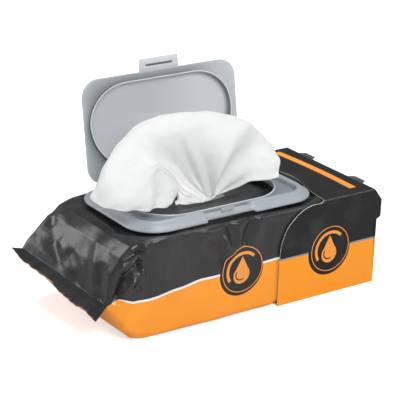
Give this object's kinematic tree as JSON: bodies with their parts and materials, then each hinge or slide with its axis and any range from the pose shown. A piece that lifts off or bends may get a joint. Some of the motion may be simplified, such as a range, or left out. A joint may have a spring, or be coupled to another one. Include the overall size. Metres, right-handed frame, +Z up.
{
  "type": "pack of cleansing wipes",
  "caption": "Soft film pack of cleansing wipes with a hinged flip-top lid, standing in a folded card sleeve, lid open and a wipe pulled half out.",
  "frame": {"origin": "on the pack's flat bottom face, below the middle of the flip-top", "axes": "+Z up, +X along the pack towards the card sleeve, +Y to the back where the lid is hinged"},
  "size_m": [0.2654, 0.1149, 0.1702],
  "materials": {
    "film": "satin film, charcoal above a fine white line, orange below",
    "nonwoven": "soft white nonwoven",
    "lid_plastic": "pale cool gray moulded plastic, semi-gloss",
    "sleeve_card": "printed card, black above a fine gray line, orange below, white cut edges"
  },
  "bodies": {
    "pack": {"film_wrapper": "film", "wipe_stack": "nonwoven", "pulled_wipe": "nonwoven", "lid_base": "lid_plastic", "card_sleeve": "sleeve_card"},
    "lid": {"flip_lid": "lid_plastic"}
  },
  "joints": [
    {"name": "lid_hinge", "type": "hinge", "parent": "pack", "child": "lid", "pos_m": [0, 0.0438, 0.0822], "axis": [1, 0, 0], "range_deg": [-70, 100], "deforming": ["pulled_wipe"]}
  ]
}
